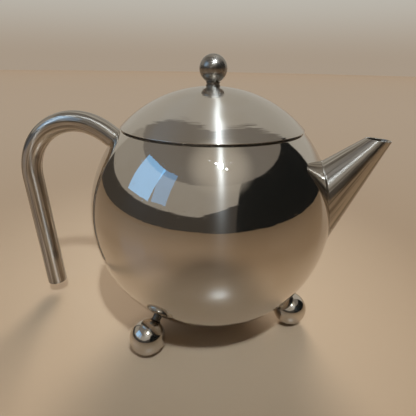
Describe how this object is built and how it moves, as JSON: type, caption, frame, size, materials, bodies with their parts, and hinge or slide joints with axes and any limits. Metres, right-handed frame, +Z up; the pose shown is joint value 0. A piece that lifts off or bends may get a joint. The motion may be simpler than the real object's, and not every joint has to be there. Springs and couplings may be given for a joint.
{
  "type": "teapot",
  "caption": "Ball-shaped stainless steel teapot with a lift-off domed lid, straight conical spout, open hook handle and ball feet.",
  "frame": {"origin": "on the body's vertical axis, on the surface that the feet stand on", "axes": "+X to the spout, -X to the handle, +Z up"},
  "size_m": [0.2208, 0.14, 0.1619],
  "materials": {
    "polished_steel": "polished",
    "satin_steel": "satin"
  },
  "bodies": {
    "pot": {"body_upper": "polished_steel", "body_lower": "polished_steel", "lid_seat_ring": "satin_steel", "spout": "polished_steel", "handle_tube": "polished_steel", "handle_end_cap": "polished_steel", "foot_ball_front": "polished_steel", "foot_ball_left": "polished_steel", "foot_ball_right": "polished_steel", "foot_stud_front": "polished_steel", "foot_stud_left": "polished_steel", "foot_stud_right": "polished_steel"},
    "lid": {"lid_shell": "polished_steel", "lid_locating_ring": "satin_steel", "knob_ball": "polished_steel", "knob_neck": "polished_steel", "knob_screw": "satin_steel", "knob_washer": "satin_steel"}
  },
  "joints": [
    {"name": "lid_lift", "type": "slide", "parent": "pot", "child": "lid", "axis": [0, 0, 1], "range_m": [0, 0.08]}
  ]
}
